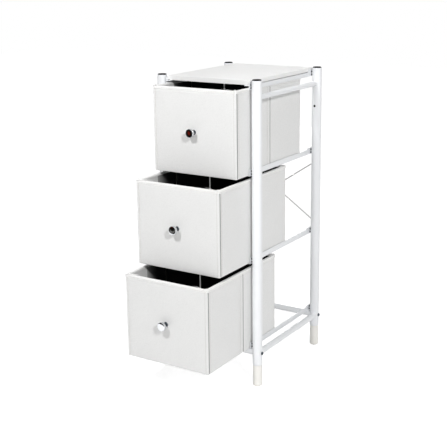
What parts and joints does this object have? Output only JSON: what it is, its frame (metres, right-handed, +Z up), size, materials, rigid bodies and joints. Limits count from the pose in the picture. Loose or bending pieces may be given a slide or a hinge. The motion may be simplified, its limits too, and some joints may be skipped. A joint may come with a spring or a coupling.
{
  "type": "drawer storage tower",
  "caption": "Slim white tube-frame tower with a flat top board and pull-out leatherette drawer boxes with black linings and polished knobs.",
  "frame": {"origin": "on the floor, below the middle of the tower's box with the drawers pulled out as pictured", "axes": "+Z up, -Y to the front, the way the drawers open, +X to the right seen from the front"},
  "size_m": [0.303, 0.5521, 0.7715],
  "materials": {
    "white_powder_coat": "white powder coat, satin",
    "foot_plastic": "moulded off-white plastic",
    "black_plastic": "satin black moulding",
    "white_board": "white foil-faced fibreboard",
    "dark_bolt": "black zinc",
    "zinc_steel": "zinc plated",
    "leatherette": "white leatherette, fine grain",
    "black_lining": "black non-woven cloth",
    "grey_board": "plain grey board",
    "polished_chrome": "polished"
  },
  "bodies": {
    "frame": {"board_screws": "zinc_steel", "brace_screws": "zinc_steel", "brace_wire_falling": "zinc_steel", "brace_wire_rising": "zinc_steel", "cross_tube_bolts": "dark_bolt", "cross_tube_inserts": "zinc_steel", "foot_front_left": "foot_plastic", "foot_front_right": "foot_plastic", "foot_rear_left": "foot_plastic", "foot_rear_right": "foot_plastic", "front_cross_tube": "white_powder_coat", "lower_side_tube_left": "white_powder_coat", "lower_side_tube_right": "white_powder_coat", "post_caps": "black_plastic", "post_front_left": "white_powder_coat", "post_front_right": "white_powder_coat", "post_hole_plugs": "black_plastic", "post_rear_left": "white_powder_coat", "post_rear_right": "white_powder_coat", "rail_spacers": "dark_bolt", "rear_cross_tube": "white_powder_coat", "runner_bottom_left": "white_powder_coat", "runner_bottom_right": "white_powder_coat", "runner_middle_left": "white_powder_coat", "runner_middle_right": "white_powder_coat", "runner_top_left": "white_powder_coat", "runner_top_right": "white_powder_coat", "top_board": "white_board", "top_rail_left": "white_powder_coat", "top_rail_right": "white_powder_coat", "upper_side_tube_left": "white_powder_coat", "upper_side_tube_right": "white_powder_coat"},
    "drawer_top": {"drawer_top_back_board": "grey_board", "drawer_top_base_board": "grey_board", "drawer_top_cover": "leatherette", "drawer_top_front_board": "grey_board", "drawer_top_knob": "polished_chrome", "drawer_top_knob_screw": "zinc_steel", "drawer_top_left_boards": "grey_board", "drawer_top_lining": "black_lining", "drawer_top_right_boards": "grey_board"},
    "drawer_middle": {"drawer_middle_back_board": "grey_board", "drawer_middle_base_board": "grey_board", "drawer_middle_cover": "leatherette", "drawer_middle_front_board": "grey_board", "drawer_middle_knob": "polished_chrome", "drawer_middle_knob_screw": "zinc_steel", "drawer_middle_left_boards": "grey_board", "drawer_middle_lining": "black_lining", "drawer_middle_right_boards": "grey_board"},
    "drawer_bottom": {"drawer_bottom_back_board": "grey_board", "drawer_bottom_base_board": "grey_board", "drawer_bottom_cover": "leatherette", "drawer_bottom_front_board": "grey_board", "drawer_bottom_knob": "polished_chrome", "drawer_bottom_knob_screw": "zinc_steel", "drawer_bottom_left_boards": "grey_board", "drawer_bottom_lining": "black_lining", "drawer_bottom_right_boards": "grey_board"}
  },
  "joints": [
    {"name": "top_drawer_slide", "type": "slide", "parent": "frame", "child": "drawer_top", "axis": [0, -1, 0], "range_m": [-0.052, 0.168]},
    {"name": "middle_drawer_slide", "type": "slide", "parent": "frame", "child": "drawer_middle", "axis": [0, -1, 0], "range_m": [-0.13, 0.09]},
    {"name": "bottom_drawer_slide", "type": "slide", "parent": "frame", "child": "drawer_bottom", "axis": [0, -1, 0], "range_m": [-0.185, 0.035]}
  ]
}
